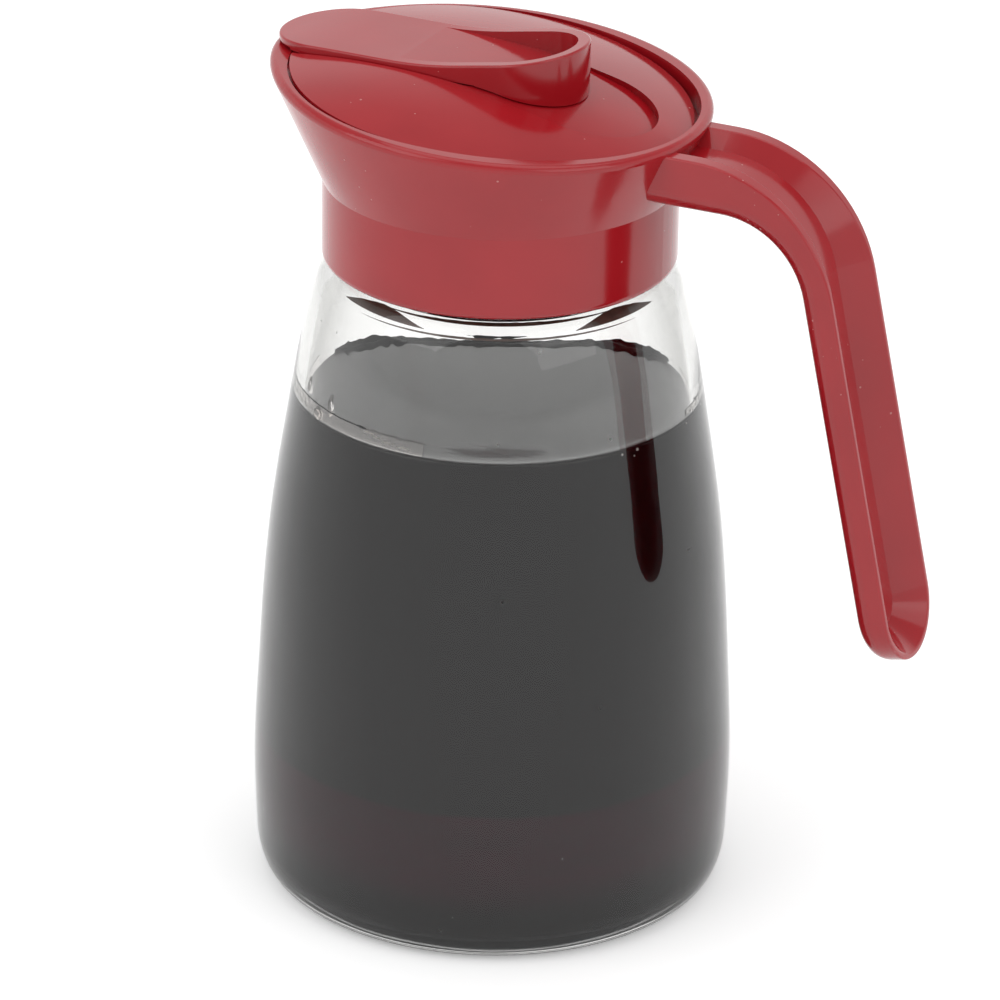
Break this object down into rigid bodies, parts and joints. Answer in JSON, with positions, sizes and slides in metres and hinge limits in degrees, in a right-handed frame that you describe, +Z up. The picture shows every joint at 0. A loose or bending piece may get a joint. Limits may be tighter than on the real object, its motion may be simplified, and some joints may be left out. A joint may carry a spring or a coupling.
{
  "type": "syrup dispenser",
  "caption": "Tapered clear glass jar of dark syrup under a glossy red moulded pouring top with a hanging channel handle and a sliding thumb shutter over its spout.",
  "frame": {"origin": "centre of the flat foot of the jar, on the surface it stands on", "axes": "+Z up along the jar's axis, +X toward the handle, the spout toward -X, +Y across the part"},
  "size_m": [0.1199, 0.0832, 0.1533],
  "materials": {
    "clear_glass": "clear, smooth",
    "syrup": "dark liquid, wet surface",
    "red_plastic": "glossy moulded plastic"
  },
  "bodies": {
    "dispenser": {"jar": "clear_glass", "syrup": "syrup", "pouring_top": "red_plastic", "lid_disc": "red_plastic"},
    "slider": {"thumb_slider": "red_plastic"}
  },
  "joints": [
    {"name": "thumb_slide", "type": "slide", "parent": "dispenser", "child": "slider", "axis": [1, 0, 0], "range_m": [0, 0.0107]}
  ]
}
